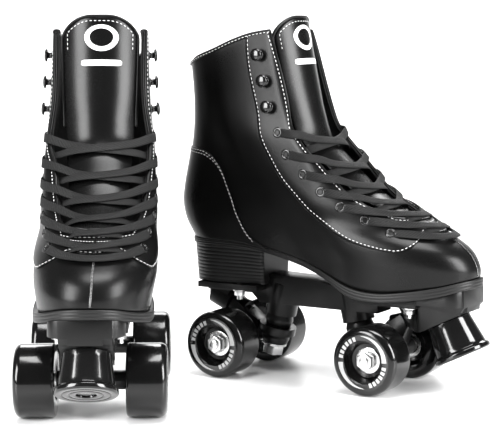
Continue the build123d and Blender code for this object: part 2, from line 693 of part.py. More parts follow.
def make_base_plate():
    """Beam, seats, bosses and toe-stop carrier, trimmed to the sole and heel above them."""
    half_base = WHEELBASE / 2
    rear_end = half_base + 34
    front_end = -half_base - 72.6
    seat_z = HEEL_SEAT_Z
    breast = HEEL_BREAST_Y * LENGTH_GRADE
    beam = slab([
        (-half_base + 10, BEAM_BOTTOM_Z),
        (half_base - 20, BEAM_BOTTOM_Z),
        (half_base - 12, TRUCK_ROOF_Z),
        (rear_end, TRUCK_ROOF_Z),
        (rear_end, seat_z),
        (breast - 0.5, seat_z),
        (breast - 0.5, seat_z + 9),
        (1, seat_z + 7.5),
        (-18, seat_z + 4),
        (-33, seat_z),
        (-half_base + 10, seat_z + 10),
    ], BEAM_HALF_W)
    front_roof = slab([
        (-half_base + 30, TRUCK_ROOF_Z), (-half_base + 30, 100), (front_end, 100), (front_end, TRUCK_ROOF_Z)
    ], BEAM_HALF_W)
    rear_seat = box((-SEAT_HALF_W, SEAT_HALF_W), (breast + 3, rear_end), (seat_z - SEAT_T, seat_z))
    front_seat = box((-SEAT_HALF_W, SEAT_HALF_W), (FRONT_BOLT_Y - 8, -half_base + 25),
                     (FRONT_SEAT_BOTTOM_Z, 100))
    seat, down = toe_stop_frame()
    across = Vector(0, -down.Z, down.Y)
    face_front = seat - across * 19
    face_rear = seat + across * 19
    carrier = slab([
        (front_end, seat_z + 14),
        (front_end, 75),
        (face_front.Y - 1.5, face_front.Z + 2),
        (face_front.Y, face_front.Z),
        (face_rear.Y, face_rear.Z),
        (face_rear.Y + 6, face_rear.Z - 1),
        (-half_base - 13.5, 70),
        (-half_base - 13.5, 100),
        (front_end, 100),
    ], CARRIER_HALF_W)
    flange = box((-CARRIER_TOP_HALF_W, CARRIER_TOP_HALF_W), (front_end + 1, FRONT_BOLT_Y + 5), (75, 100))
    flange = fillet(flange.edges().filter_by(Axis.Z).group_by(Axis.Y)[0], 14)
    plate = beam + front_roof + rear_seat + front_seat + carrier + flange
    for end in (-1, 1):
        _, ring, kingpin, steer = truck_frame(end)
        boss_top = KINGPIN_GRIP + 6
        plate += rod(ring + kingpin * boss_start(), kingpin, KINGPIN_BOSS_D, boss_top)
        cup_d = PIVOT_PIN_D + 2 * RUNNING + 2 * PIVOT_CUP_WALL
        boss_d = cup_d + 2 * PIVOT_BOSS_WALL
        mouth = ring + steer * PIVOT_MOUTH_FROM_RING
        depth = pivot_socket_end() - PIVOT_MOUTH_FROM_RING
        plate += rod(mouth, steer, boss_d, depth + PIVOT_BOSS_WALL)
        web = slab([(mouth.Y, mouth.Z), (mouth.Y, TRUCK_ROOF_Z + 2), (end * rear_end, TRUCK_ROOF_Z + 2),
                    (end * rear_end, mouth.Z + 6)], boss_d / 2 - 1)
        plate += web
        plate -= rod(mouth - steer * 1, steer, cup_d + 2 * FIXED, depth + 1)
        plate -= rod(ring + steer * 20, steer, boss_d + 4, PIVOT_MOUTH_FROM_RING - 20)
        plate -= rod(ring, kingpin, KINGPIN_D + 2 * FIXED, boss_start() + KINGPIN_GRIP + 1)
    plate -= rod(seat, -down, TOE_STOP_BOLT_D + 2 * FIXED, TOE_STOP_THREAD + 1)
    for x, y in mount_bolt_places():
        plate -= rod(at(y, 0, x), (0, 0, 1), MOUNT_BOLT_D + 2 * RUNNING, BIG / 2)
        plate -= rod(at(y, 0, x), (0, 0, 1), MOUNT_NUT_AF + 6, nut_seat_z(y))
    plate -= box((-BIG / 4, BIG / 4), (breast - 0.3, BIG / 2), (seat_z, BIG / 2))
    return plate & below(sole_line(1))


def make_mounting_bolts(sole_top_at):
    """Bolts through the sole and plate with their nuts, and the toe-stop bolt."""
    pieces = []
    for x, y in mount_bolt_places():
        nut_top = nut_seat_z(y)
        head_z = sole_top_at(y) + INSOLE_T + 1.6
        start = at(y, nut_top - MOUNT_BOLT_TAIL, x)
        radius = MOUNT_BOLT_D / 2
        length = head_z - start.Z
        corners = [(0, 0), (radius, 0), (radius, length), (radius + 1.7, length), (radius + 1.0, length + 1.5),
                   (0, length + 2)]
        pieces.append(turned(corners, start, (0, 0, 1)))
        pieces.append(sleeve(at(y, nut_top - 1, x), (0, 0, 1), MOUNT_NUT_AF + 4, MOUNT_BOLT_D + 2 * RUNNING, 1))
        pieces.append(hexagon(at(y, nut_top - 1 - MOUNT_NUT_H, x), (0, 0, 1), MOUNT_NUT_AF, MOUNT_NUT_H,
                              MOUNT_BOLT_D + 2 * RUNNING))
    seat, down = toe_stop_frame()
    floor = TOE_STOP_H - TOE_STOP_RECESS_DEPTH
    pieces.append(rod(seat - down * TOE_STOP_THREAD, down, TOE_STOP_BOLT_D, TOE_STOP_THREAD + floor)
                  + hexagon(seat + down * floor, down, TOE_STOP_BOLT_AF, TOE_STOP_BOLT_HEAD_H))
    return pieces


def make_toe_stop():
    seat, down = toe_stop_frame()
    bore = TOE_STOP_BOLT_D / 2 + RUNNING
    recess = TOE_STOP_RECESS_D / 2
    face = TOE_STOP_FACE_D / 2
    height = TOE_STOP_H
    corners = [
        (bore, 0),
        (TOE_STOP_TOP_D / 2, 0),
        (TOE_STOP_TOP_D / 2, 3),
        (face - 2.2, height - TOE_STOP_LIP - 2),
        (face, height - TOE_STOP_LIP),
        (face, height),
        (19.0, height),
        (18.4, height - 0.8),
        (17.8, height),
        (13.5, height),
        (12.9, height - 0.8),
        (12.3, height),
        (recess, height),
        (recess, height - TOE_STOP_RECESS_DEPTH),
        (bore, height - TOE_STOP_RECESS_DEPTH),
    ]
    return turned(corners, seat, down, {1: 1.2, 4: 1.5, 5: 1.8})


# ---- one skate ----
def sole_height(line, y):
    """Height of a side outline at y, along its straight chords."""
    for (y0, z0), (y1, z1) in zip(line, line[1:]):
        if y0 <= y <= y1:
            return z0 + (z1 - z0) * (y - y0) / (y1 - y0)
    return line[-1][1]


def make_skate():
    """Every node of a right skate, by name."""
    form = boot_form()
    skin = boot_form(-PLY_GAP)
    eyelet_places = eyelet_seats(skin)
    hook_places = hook_seats(skin)
    cuts = [below(sole_line()), gap_cutter(), collar_cutter()] + lace_holes(eyelet_places, hook_places)
    bolts = [rod(at(y, 0, x), (0, 0, 1), MOUNT_BOLT_D + 2 * RUNNING, BIG / 2) for x, y in mount_bolt_places()]
    inside = boot_form(leather_depth())
    nodes = {
        "upper": make_upper(form, cuts),
        "overlays": make_overlays(cuts),
        "lining": make_lining(cuts),
        "insole": make_insole(inside) - bolts,
        "outsole": make_outsole() - bolts,
        "heel_block": make_heel_block() - bolts,
        "tongue": make_tongue(),
        "eyelets": make_eyelets(eyelet_places),
        "lace_hooks": make_hooks(hook_places),
        "lace": make_lace(form, eyelet_places),
        "base_plate": make_base_plate(),
        "mounting_bolts": make_mounting_bolts(lambda y: sole_height(sole_line(), y)),
        "toe_stop": make_toe_stop(),
        "kingpins": make_kingpins(),
        "cushions": make_cushions(-1) + make_cushions(1),
        "pivot_cups": make_pivot_cups(),
    }
    for end, place in ((-1, "front"), (1, "rear")):
        nodes[f"{place}_hanger"] = make_hanger(end)
        nodes[f"{place}_axle"] = make_axle(end)
        nodes[f"{place}_axle_nuts"] = make_axle_hardware(end)
        for side, name in ((-1, "outer"), (1, "inner")):
            nodes[f"{place}_{name}_wheel"] = make_wheel(end, side)
            nodes[f"{place}_{name}_bearings"] = make_bearings(end, side)
    return nodes


def solids_of(shape):
    """All the solids of a shape or a list of shapes."""
    shapes = shape if isinstance(shape, list) else [shape]
    return [solid for one in shapes for solid in one.solids()]


def left_place():
    return Pos(*LEFT_OFFSET, 0) * Rot(0, 0, LEFT_TURN)


def make_pair():
    """Both skates, moved so that the middle of the pair's box is above the origin."""
    pair = {}
    for name, shape in make_skate().items():
        solids = solids_of(shape)
        pair["right_" + name] = solids
        pair["left_" + name] = [left_place() * mirror(solid, about=Plane.YZ) for solid in solids]
    bounds = Compound([solid for solids in pair.values() for solid in solids]).bounding_box()
    middle = (bounds.min + bounds.max) * 0.5
    shift = Pos(-middle.X, -middle.Y, -bounds.min.Z)
    return {name: Compound([shift * solid for solid in solids]) for name, solids in pair.items()}, shift


if __name__ == "__main__":
    parts, pair_shift = make_pair()
    for node_name, node in parts.items():
        export_step(node, f"parts/{node_name}.step")
    print("pair shift", pair_shift.position, "nodes", len(parts))
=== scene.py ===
# %% [markdown]
# # A pair of quad roller skates
# Each skate is a stitched leatherette boot on a stacked heel, bolted to a plate with two sprung trucks,
# four wheels and a toe stop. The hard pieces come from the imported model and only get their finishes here.
# The soft pieces (upper, overlays, lining, tongue, laces, sole and heel) are modelled new: once, as a right
# skate, then stood in place twice, the left one mirrored.

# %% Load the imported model
import math

import bmesh
import bpy
from mathutils import Matrix, Vector


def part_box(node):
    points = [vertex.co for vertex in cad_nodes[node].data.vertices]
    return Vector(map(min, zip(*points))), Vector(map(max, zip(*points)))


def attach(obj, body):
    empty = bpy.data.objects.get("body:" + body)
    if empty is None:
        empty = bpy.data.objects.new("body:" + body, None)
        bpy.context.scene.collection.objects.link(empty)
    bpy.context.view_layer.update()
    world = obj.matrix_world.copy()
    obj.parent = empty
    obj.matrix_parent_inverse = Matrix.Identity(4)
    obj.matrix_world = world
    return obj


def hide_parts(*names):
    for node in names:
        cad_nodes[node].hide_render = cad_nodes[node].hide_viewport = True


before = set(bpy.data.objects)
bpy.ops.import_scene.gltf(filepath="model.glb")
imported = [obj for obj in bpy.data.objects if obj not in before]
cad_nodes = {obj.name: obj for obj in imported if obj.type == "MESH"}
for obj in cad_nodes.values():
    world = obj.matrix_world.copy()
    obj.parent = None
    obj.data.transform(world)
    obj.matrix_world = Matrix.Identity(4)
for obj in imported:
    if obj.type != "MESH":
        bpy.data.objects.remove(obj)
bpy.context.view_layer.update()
MM = 0.001
SIDES = ("right", "left")

# %% [markdown]
# ## Where each foot stands
# The boot is easiest to describe in its own frame: toe towards -Y, inner side of the foot towards +X, floor
# at zero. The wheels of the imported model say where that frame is, so nothing is placed by hand.


# %% The two skates' places
def wheel_middle(side, end):
    """The point between the two wheels of one axle, at axle height."""
    total = Vector()
    for place in ("outer", "inner"):
        low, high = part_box(f"{side}_{end}_{place}_wheel")
        total += (low + high) / 4
    return total


def foot_place(side):
    """The matrix that takes a right-skate point to the row frame."""
    front, rear = wheel_middle(side, "front"), wheel_middle(side, "rear")
    toe = front - rear
    turn = Matrix.Rotation(math.atan2(toe.x, -toe.y), 4, "Z")
    middle = (front + rear) / 2
    mirror = Matrix.Diagonal((-1, 1, 1, 1)) if side == "left" else Matrix.Identity(4)
    return Matrix.Translation((middle.x, middle.y, 0)) @ turn @ mirror


FOOT = {side: foot_place(side) for side in SIDES}
print("right stands at", FOOT["right"].translation, "left at", FOOT["left"].translation)

# %% [markdown]
# ## Camera and studio
# A long lens a little above the ankle, a pale paper sweep, and four large soft lights: one each side, which
# leave the soft bands along the glossy boots, one above, and one behind that lights the paper.


# %% Camera
CAMERA_PLACE = Vector((-0.05215, -1.34009, 0.29984))
CAMERA_AHEAD = Vector((0.0337, 0.9994, -0.1162))
camera = bpy.data.objects.new("camera", bpy.data.cameras.new("camera"))
camera.data.lens = 117.4
camera.data.sensor_width = 36
camera.location = CAMERA_PLACE
camera.rotation_euler = CAMERA_AHEAD.to_track_quat("-Z", "Y").to_euler()
camera.data.clip_end = 50
bpy.context.scene.collection.objects.link(camera)
bpy.context.scene.camera = camera
bpy.context.scene.view_settings.view_transform = "Standard"
print("camera looks along", CAMERA_AHEAD)


# %% Lights
def softbox(name, place, target, width, height, power):
    """A large rectangular light aimed at a point."""
    lamp = bpy.data.lights.new(name, "AREA")
    lamp.shape = "RECTANGLE"
    lamp.size, lamp.size_y, lamp.energy = width, height, power
    piece = bpy.data.objects.new(name, lamp)
    piece.location = place
    piece.rotation_euler = (Vector(target) - Vector(place)).to_track_quat("-Z", "Y").to_euler()
    bpy.context.scene.collection.objects.link(piece)


BOOT_MIDDLE = (0, 0, 0.16)
softbox("left_light", (-1.45, -0.95, 0.8), BOOT_MIDDLE, 0.75, 1.2, 62)
softbox("right_light", (1.5, -0.85, 0.8), BOOT_MIDDLE, 0.75, 1.2, 70)
softbox("top_light", (0.1, -0.3, 1.9), BOOT_MIDDLE, 1.2, 0.7, 46)
softbox("back_light", (0.3, 2.2, 1.7), (0.1, 1.2, 0), 2.4, 0.9, 60)
world = bpy.data.worlds.new("studio")
world.use_nodes = True
world.node_tree.nodes["Background"].inputs["Color"].default_value = (1, 1, 1, 1)
world.node_tree.nodes["Background"].inputs["Strength"].default_value = 0.12
bpy.context.scene.world = world

# %% [markdown]
# ## Writing materials as sums
# A shader is a formula over a point. The small class below wraps a node's socket so that the formula can be
# written with ordinary operators, and one method makes any other node.


# %% Sockets with operators
class Value:
    """A node socket that can be added, multiplied and mixed."""

    def __init__(self, tree, socket):
        self.tree, self.socket = tree, socket

    def node(self, kind, sockets=(), out=0, **settings):
        """Adds any node: its settings first, then its sockets by name or number."""
        made = self.tree.nodes.new(kind)
        for name, setting in settings.items():
            setattr(made, name, setting)
        for name, given in dict(sockets).items():
            if isinstance(given, Value):
                self.tree.links.new(given.socket, made.inputs[name])
            else:
                made.inputs[name].default_value = given
        return Value(self.tree, made.outputs[out])

    def math(self, operation, *others):
        return self.node("ShaderNodeMath", enumerate((self, *others)), operation=operation)

    def __add__(self, other):
        return self.math("ADD", other)

    def __mul__(self, other):
        return self.math("MULTIPLY", other)

    def blend(self, low, high):
        """The colour low where this value is 0 and high where it is 1."""
        return self.node("ShaderNodeMix", {0: self, 6: low, 7: high}, out=2, data_type="RGBA")

    def noise(self, scale, detail=2):
        return self.node("ShaderNodeTexNoise", {"Vector": self, "Scale": scale, "Detail": detail})

    def cells(self, scale, feature="F1"):
        return self.node("ShaderNodeTexVoronoi", {"Vector": self, "Scale": scale}, feature=feature)

    def waves(self, scale, direction="X", distortion=0):
        return self.node(
            "ShaderNodeTexWave",
            {"Vector": self, "Scale": scale, "Distortion": distortion},
            out=1,
            bands_direction=direction,
        )


class Finish:
    """A material around one Principled shader."""

    def __init__(self, name, uv=False, **constants):
        self.material = bpy.data.materials.new(name)
        self.material.use_nodes = True
        tree = self.material.node_tree
        self.shader = tree.nodes["Principled BSDF"]
        self.place = Value(tree, tree.nodes.new("ShaderNodeTexCoord").outputs["UV" if uv else "Object"])
        for socket, constant in constants.items():
            self.shader.inputs[socket.replace("_", " ")].default_value = constant

    def set(self, socket, value):
        self.place.tree.links.new(value.socket, self.shader.inputs[socket])
        return self

    def bump(self, height, distance, strength=1.0):
        """Presses a height pattern into the surface; distance is its depth in metres."""
        pressed = height.node(
            "ShaderNodeBump", {"Height": height, "Distance": distance, "Strength": strength}
        )
        return self.set("Normal", pressed)


def grey(level):
    return (level, level, level, 1)


# %% [markdown]
# ## Boot finishes
# Leatherette is cloth with a pressed plastic skin: small rounded cells with soft creases between them, a
# little uneven in gloss. A cell pattern gives the grain, and a slow noise gives the handling marks.


# %% Leatherette, lining, thread and lace
def leatherette(name, colour, roughness, grain, depth):
    finish = Finish(name, Specular_IOR_Level=0.2)
    p = finish.place
    cells = p.cells(grain, "SMOOTH_F1")
    slow = p.noise(22, 3)
    finish.set("Base Color", slow.blend(grey(colour * 0.75), grey(colour * 1.3)))
    finish.set("Roughness", cells * 0.10 + slow * 0.14 + (roughness - 0.10))
    return finish.bump(cells * -0.8 + p.noise(grain * 0.35, 3) * 0.7, depth, 0.55)


boot_leatherette = leatherette("boot_leatherette", 0.0028, 0.30, 1300, 0.00010)
trim_leatherette = leatherette("trim_leatherette", 0.0034, 0.32, 1500, 0.00010)
tongue_leatherette = leatherette("tongue_leatherette", 0.0032, 0.24, 1800, 0.00006)

lining = Finish("lining_knit", Roughness=0.92, Specular_IOR_Level=0.2)
knit = lining.place.waves(520, "Z") * lining.place.waves(520, "Y")
lining.set("Base Color", knit.blend(grey(0.004), grey(0.014)))
lining.bump(knit, 0.0003, 0.7)

thread = Finish("pale_thread", Roughness=0.6)
twist = thread.place.noise(2600, 1)
thread.set("Base Color", twist.blend(grey(0.42), grey(0.86)))
thread.bump(twist, 0.0001, 0.6)

# The lace's map runs 0 to 1 across the ribbon and counts ribbon widths along it.
lace_weave = Finish("lace_weave", uv=True, Roughness=0.6, Specular_IOR_Level=0.25)
ribs = lace_weave.place.waves(1.9, "DIAGONAL")
rows = lace_weave.place.waves(3.2, "Y", 0.6)
weave = ribs * 0.6 + rows * 0.4
lace_weave.set("Base Color", weave.blend(grey(0.001), grey(0.010)))
lace_weave.bump(weave, 0.0006, 0.9)
print("soft finishes made")

# %% [markdown]
# ## Hard finishes
# Painted plate and trucks, zinc-plated fasteners, turned axles, glossy wheels and toe stop. Each gets a
# little unevenness: a fine orange peel in what is painted or moulded, and clouds in the plating.


# %% Plate, metal, urethane and rubber
def moulded(name, colour, roughness, peel=260, depth=0.00008, **constants):
    finish = Finish(name, **{"Specular_IOR_Level": 0.3, **constants})
    p = finish.place
    slow = p.noise(30, 4)
    fine = p.noise(peel * 10, 2)
    finish.set("Base Color", slow.blend(grey(colour * 0.7), grey(colour * 1.35)))
    finish.set("Roughness", slow * 0.16 + fine * 0.06 + (roughness - 0.1))
    return finish.bump(p.noise(peel, 3) + fine * 0.3, depth, 0.5)


def plated(name, colour, roughness, cloud=90):
    finish = Finish(name, Metallic=1.0)
    p = finish.place
    slow = p.noise(cloud, 4)
    finish.set("Base Color", slow.blend(grey(colour * 0.72), grey(colour)))
    finish.set("Roughness", slow * 0.2 + p.noise(1800, 2) * 0.1 + (roughness - 0.12))
    return finish.bump(p.noise(900, 2), 0.00003, 0.4)


FINISHES = {
    "plate_black": moulded("plate_black", 0.0035, 0.36),
    "hanger_black": moulded("truck_black", 0.0035, 0.30),
    "zinc_steel": plated("zinc_steel", 0.80, 0.26),
    "axle_steel": plated("turned_steel", 0.86, 0.20),
    "bearing_steel": plated("bearing_shield", 0.84, 0.22, 40),
    "stop_rubber": moulded("stop_rubber", 0.004, 0.13, 60, 0.00010, Coat_Weight=0.35, Coat_Roughness=0.06),
    "urethane_cushion": moulded("cushion_urethane", 0.005, 0.34),
    "cup_nylon": moulded("cup_nylon", 0.006, 0.42),
    "wheel_urethane": moulded(
        "wheel_urethane", 0.003, 0.16, 70, 0.00006, Coat_Weight=0.25, Coat_Roughness=0.08
    ),
    "black_enamel": moulded(
        "black_enamel", 0.004, 0.17, 400, 0.00003, Coat_Weight=0.4, Coat_Roughness=0.08
    ),
    "sole_rubber": moulded("sole_rubber", 0.009, 0.44, 700, 0.00012),
    "heel_stack": moulded("heel_stack", 0.009, 0.42, 500, 0.00010),
    "insole_board": moulded("insole_board", 0.012, 0.8, 900, 0.0002),
}
print("hard finishes", len(FINISHES))


# %% Hard nodes: rounded edges and smooth faces
# A bevel under a millimetre wide is what makes an edge catch the light. The widths are in millimetres.
WELD_M, BEVEL_FROM = 0.00001, math.radians(38)
HARD_NODES = {
    "base_plate": ("plate_black", 0.5),
    "mounting_bolts": ("zinc_steel", 0.2),
    "toe_stop": ("stop_rubber", 0.4),
    "kingpins": ("zinc_steel", 0.25),
    "cushions": ("urethane_cushion", 0.5),
    "pivot_cups": ("cup_nylon", 0.2),
    "front_hanger": ("hanger_black", 0.5),
    "rear_hanger": ("hanger_black", 0.5),
    "front_axle": ("axle_steel", 0.3),
    "rear_axle": ("axle_steel", 0.3),
    "front_axle_nuts": ("zinc_steel", 0.2),
    "rear_axle_nuts": ("zinc_steel", 0.2),
}
for end in ("front", "rear"):
    for place in ("outer", "inner"):
        HARD_NODES[f"{end}_{place}_wheel"] = ("wheel_urethane", 0.3)
        HARD_NODES[f"{end}_{place}_bearings"] = ("bearing_steel", 0.15)


def shade(mesh, smooth=True):
    for face in mesh.polygons:
        face.use_smooth = smooth


def finish_node(name, finish, edge):
    piece = cad_nodes[name]
    piece.data.materials.clear()
    piece.data.materials.append(finish.material)
    weld = piece.modifiers.new("weld", "WELD")
    weld.merge_threshold = WELD_M
    rounding = piece.modifiers.new("edge", "BEVEL")
    rounding.width, rounding.segments, rounding.limit_method = edge * MM, 2, "ANGLE"
    rounding.angle_limit = BEVEL_FROM
    rounding.harden_normals = False
    shade(piece.data)


for side in SIDES:
    for name, (slot, edge) in HARD_NODES.items():
        finish_node(f"{side}_{name}", FINISHES[slot], edge)
print("hard nodes finished", 2 * len(HARD_NODES))


# %% [markdown]
# ## The shape of the boot
# A last maker describes a boot by slices. Each row below is one tilted slice: its back and front points, its
# half-widths at the heel, middle and ball, where the front starts to round, and its sideways shift. A smooth
# curve through the rows gives the surface anywhere, so that every layer, seam and stitch can lie on it.

# %% Slices of the boot, in millimetres
# back y, back z, front y, front z, heel, middle and fore half-width, cap, shift at heel and front
SLICES = [
    (117, 100, -144.5, 72, 28, 31, 43, 0.66, 0, 3),
    (121, 118, -150, 97, 31, 34, 47, 0.66, 0, 4),
    (130, 134, -149.5, 108, 33, 36, 48.5, 0.66, 0, 5),
    (133.5, 150, -142, 120, 34, 38, 48, 0.65, 0, 5.5),
    (131.5, 165, -124.5, 132, 34.5, 39.5, 47, 0.52, 0.5, 6),
    (128, 180, -98, 146, 35, 40.5, 46, 0.64, 1, 6),
    (124.5, 195, -67.5, 163, 35, 41.5, 45, 0.74, 1.5, 5.5),
    (122, 209, -42.5, 185, 35.5, 42, 44, 0.82, 2, 5),
    (120.5, 222, -20, 207, 36, 42, 43, 0.85, 2.5, 4.5),
    (120, 236, -8, 228, 36, 41, 41, 0.85, 3, 4),
    (121, 252, 1.5, 255, 35.5, 39.5, 39.5, 0.85, 3, 4),
    (123.5, 272, 12, 299, 35, 38, 38, 0.85, 3, 4),
    (126.5, 292, 18, 330, 35, 37, 37, 0.85, 3, 4),
]
SOLE_SLICE = (123, 0, -151.5, 0, 32, 33, 47, 0.66, 0, 2.5)
HEEL_SLICE = (122, 0, 26, 0, 31, 31, 29, 0.5, 0, 0)
# (y, z) along the sole's top and the collar, and (z, y) down the quarters' front edge
SOLE_POINTS = [(-165, 100), (-147, 97), (-128, 92), (-99, 87), (-76, 85), (-53, 88), (-24, 99), (14, 110),
               (45, 116), (75, 118), (150, 118)]
COLLAR_POINTS = [(0, 304), (41, 299), (63, 293), (83, 285), (104, 278), (114, 273.5), (145, 268)]
QUARTER_POINTS = [(206, -12), (219, 1), (246, 9), (280, 19), (320, 33)]
# the lacing gap seen from above: y, outer x, inner x
GAP = [(-88, -19, 32), (-60, -25, 40), (-30, -29, 44), (-12, -30, 45), (3, -31, 45)]
THROAT = 5.0  # the level of the gap's foot
WELT = 0.6  # how far the upper reaches below the sole's top
UPPER_T, LINING_T, OVERLAY_T = 2.0, 1.5, 1.0


def ease(low, high, share):
    share = min(max(share, 0.0), 1.0)
    return low + (high - low) * share * share * (3 - 2 * share)


def chord(rows, position):
    """The value at a position along straight chords between (position, value) rows."""
    for (a, low), (b, high) in zip(rows, rows[1:]):
        if position <= b:
            return low + (high - low) * (max(position, a) - a) / (b - a)
    return rows[-1][1]


def smooth_row(rows, position):
    """Numbers between rows, on a smooth curve through them."""
    index = min(max(int(position), 0), len(rows) - 2)
    t = position - index
    around = [rows[min(max(index + step, 0), len(rows) - 1)] for step in (-1, 0, 1, 2)]
    return [
        0.5 * (2 * b + (c - a) * t + (2 * a - 5 * b + 4 * c - d) * t * t + (3 * b - a - 3 * c + d) * t**3)
        for a, b, c, d in zip(*around)
    ]


def slice_point(row, turn, inset=0.0):
    """A point of one slice; turn is 0 at the toe, positive on the foot's inner side, pi at the heel."""
    back_y, back_z, front_y, front_z, heel, middle, fore, cap, heel_shift, fore_shift = row
    share = (1 + math.cos(turn)) / 2
    width = ease(heel, middle, (share - 0.17) / 0.25)
    if share > 0.42:
        width = ease(middle, fore, (share - 0.42) / 0.24)
    heel_cap = 0.9 * heel / (back_y - front_y)
    rounding = 1.0
    if share < heel_cap:
        rounding = math.sqrt(max(0.0, 1 - ((heel_cap - share) / heel_cap) ** 2))
    if share > cap:
        rounding = max(0.0, 1 - ((share - cap) / (1 - cap)) ** 2.2) ** (1 / 2.2)
    side = 1 if math.sin(turn) >= 0 else -1
    y = back_y - inset + (front_y - back_y + 2 * inset) * share
    z = back_z + (front_z - back_z) * share
    x = heel_shift + (fore_shift - heel_shift) * share + side * (width - inset) * rounding
    return Vector((x, y, z))


def boot(level, turn):
    return slice_point(smooth_row(SLICES, level), turn)


def boot_normal(level, turn):
    around = boot(level, turn + 0.02) - boot(level, turn - 0.02)
    up = boot(level + 0.05, turn) - boot(level - 0.05, turn)
    return around.cross(up).normalized()


def skin(level, turn, height=0.0):
    """A point at a height above the boot's surface."""
    return boot(level, turn) + boot_normal(level, turn) * height


def fine_line(points, parts=10):
    """Many short chords along a smooth curve through a few points."""
    return [smooth_row(points, i / parts) for i in range((len(points) - 1) * parts + 1)]


SOLE_TOP = fine_line(SOLE_POINTS)
COLLAR = fine_line(COLLAR_POINTS)
QUARTER_FRONT = fine_line(QUARTER_POINTS)
print("toe", boot(1, 0), "heel", boot(1, math.pi))


# %% Where the edges run
def solve(low, high, test):
    """The place between low and high where test turns from false to true."""
    for _ in range(26):
        middle = (low + high) / 2
        low, high = (low, middle) if test(middle) else (middle, high)
    return (low + high) / 2


def sole_level(turn):
    """The level at which the upper meets the sole."""
    def above(level):
        point = boot(level, turn)
        return point.z > chord(SOLE_TOP, point.y) - WELT
    return solve(0, 4, above)


def collar_level(turn):
    def above(level):
        point = boot(level, turn)
        return point.z > chord(COLLAR, point.y)
    return solve(8, 12, above)


def side_place(y, z, side):
    """(level, turn) of the surface point seen at (y, z) from one side."""
    def share_at(level):
        row = smooth_row(SLICES, level)
        return min(max((row[0] - y) / (row[0] - row[2]), 0), 1)

    def above(level):
        row = smooth_row(SLICES, level)
        return row[1] + (row[3] - row[1]) * share_at(level) > z
    level = solve(0, 12, above)
    return level, side * math.acos(2 * share_at(level) - 1)


def in_gap(point):
    y = max(point.y, GAP[0][0])
    outer = chord([(row[0], row[1]) for row in GAP], y)
    inner = chord([(row[0], row[2]) for row in GAP], y)
    if y < 3 and outer < point.x < inner:
        return True
    return point.z > 200 and point.y < chord(QUARTER_FRONT, point.z)


def raw_gap_turn(level, side):
    turn = 0.0
    while turn < 3 and in_gap(boot(level, side * turn)):
        turn += 0.02
    return solve(max(turn - 0.02, 0), turn, lambda t: not in_gap(boot(level, side * t)))


STEP = 0.125  # levels between the rows of gap_turns
gap_turns = {}
for side in (1, -1):
    turns = [raw_gap_turn(i * STEP, side) for i in range(int(12 / STEP) + 1)]
    for _ in range(4):
        softer = [(a + 2 * b + c) / 4 for a, b, c in zip(turns, turns[1:], turns[2:])]
        turns = [turns[0], *softer, turns[-1]]
    gap_turns[side] = turns


def gap_turn(level, side):
    """The turn at which the lacing gap's edge lies on a level."""
    place = min(max(level / STEP, 0), len(gap_turns[side]) - 1.001)
    index = int(place)
    low, high = gap_turns[side][index:index + 2]
    return side * (low + (high - low) * (place - index))


def edge_top(side):
    """The level where the gap's edge meets the collar."""
    def above(level):
        point = boot(level, gap_turn(level, side))
        return point.z > chord(COLLAR, point.y)
    return solve(8, 12, above)


print("gap edges end at levels", edge_top(1), edge_top(-1))

# %% [markdown]
# ## Making sheets on the surface
# Leather goods are sheets, so the main tool is a flat grid whose points are carried onto the boot. Thickness
# comes from a Solidify modifier, and one subdivision rounds the cut edges.


# %% Sheets, tubes and standing a piece on both feet
def grid(across, along, place, joined=0.02):
    """A grid of across by along squares, each corner carried to place(u, v) with u and v from 0 to 1."""
    bm = bmesh.new()
    bm.loops.layers.uv.new("map")
    bmesh.ops.create_grid(bm, x_segments=across, y_segments=along, size=0.5, calc_uvs=True)
    for vert in bm.verts:
        vert.co = place(vert.co.x + 0.5, vert.co.y + 0.5)
    bmesh.ops.remove_doubles(bm, verts=bm.verts, dist=joined)
    return bm


def tube(path, profile, ups):
    """A closed band along a path; profile holds (sideways, up) points and ups the upward directions."""
    count, around = len(path), len(profile)

    def place(u, v):
        index = round(u * (count - 1))
        ahead = (path[min(index + 1, count - 1)] - path[max(index - 1, 0)]).normalized()
        sideways = ahead.cross(ups[index]).normalized()
        up = sideways.cross(ahead)
        a, b = profile[round(v * around) % around]
        return path[index] + sideways * a + up * b
    bm = grid(count - 1, around, place, 0.001)
    bmesh.ops.holes_fill(bm, edges=[e for e in bm.edges if e.is_boundary], sides=around)
    return bm


def stitch_row(bm, points, ups, length=2.5, gap=1.1, radius=0.36):
    """Lays short threads along a line of points."""
    total, marks = 0.0, [0.0]
    for a, b in zip(points, points[1:]):
        total += (b - a).length
        marks.append(total)
    count = max(int(total / (length + gap)), 1)
    for i in range(count):
        at = (i + 0.5) * total / count
        k = next(j for j in range(len(marks) - 1) if marks[j + 1] >= at)
        share = (at - marks[k]) / max(marks[k + 1] - marks[k], 1e-6)
        point = points[k].lerp(points[k + 1], share)
        ahead = (points[k + 1] - points[k]).normalized()
        up = ups[k].lerp(ups[k + 1], share)
        sideways = ahead.cross(up).normalized()
        turn = Matrix((ahead, sideways, sideways.cross(ahead) * -1)).transposed().to_4x4()
        size = Matrix.Diagonal((length / 2, radius, radius, 1))
        placed = Matrix.Translation(point) @ turn @ size
        bmesh.ops.create_icosphere(bm, subdivisions=1, radius=1, matrix=placed)


def pour(bm, other):
    """Adds other's faces to bm and frees other."""
    mesh = bpy.data.meshes.new("poured")
    other.to_mesh(mesh)
    other.free()
    bm.from_mesh(mesh)
    bpy.data.meshes.remove(mesh)


